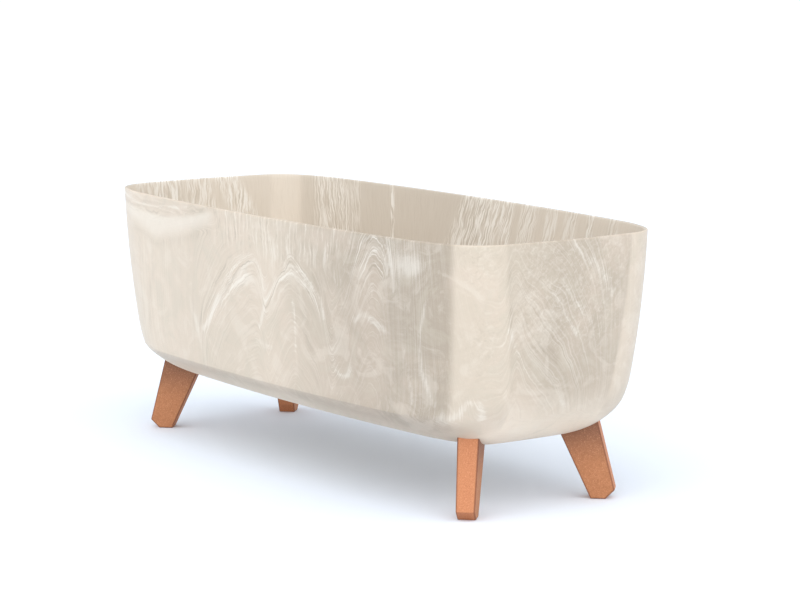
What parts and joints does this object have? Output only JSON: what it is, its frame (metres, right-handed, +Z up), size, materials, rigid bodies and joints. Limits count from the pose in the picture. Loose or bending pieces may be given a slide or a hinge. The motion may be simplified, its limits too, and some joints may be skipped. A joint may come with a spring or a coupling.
{
  "type": "raised planter on legs",
  "caption": "Long moulded planter trough with rounded corners, leaning walls and a creased bevelled underside, on splayed board legs.",
  "frame": {"origin": "on the floor, midway between the feet, under the middle of the trough", "axes": "+X along the trough, +Y across it, +Z up; the trough is symmetric about both vertical planes"},
  "size_m": [0.6, 0.2546, 0.2393],
  "materials": {
    "marbled_plastic": "satin moulded plastic with a flowing cream and taupe marble pattern",
    "copper_composite": "fine grained copper brown composite board",
    "screw_steel": "plain stainless",
    "washer_rubber": "matt",
    "insert_brass": "turned"
  },
  "bodies": {
    "root": {"trough": "marbled_plastic", "leg_front_left": "copper_composite", "leg_front_right": "copper_composite", "leg_back_left": "copper_composite", "leg_back_right": "copper_composite", "leg_screws": "screw_steel", "leg_screw_washers": "washer_rubber", "leg_thread_inserts": "insert_brass"}
  },
  "joints": []
}
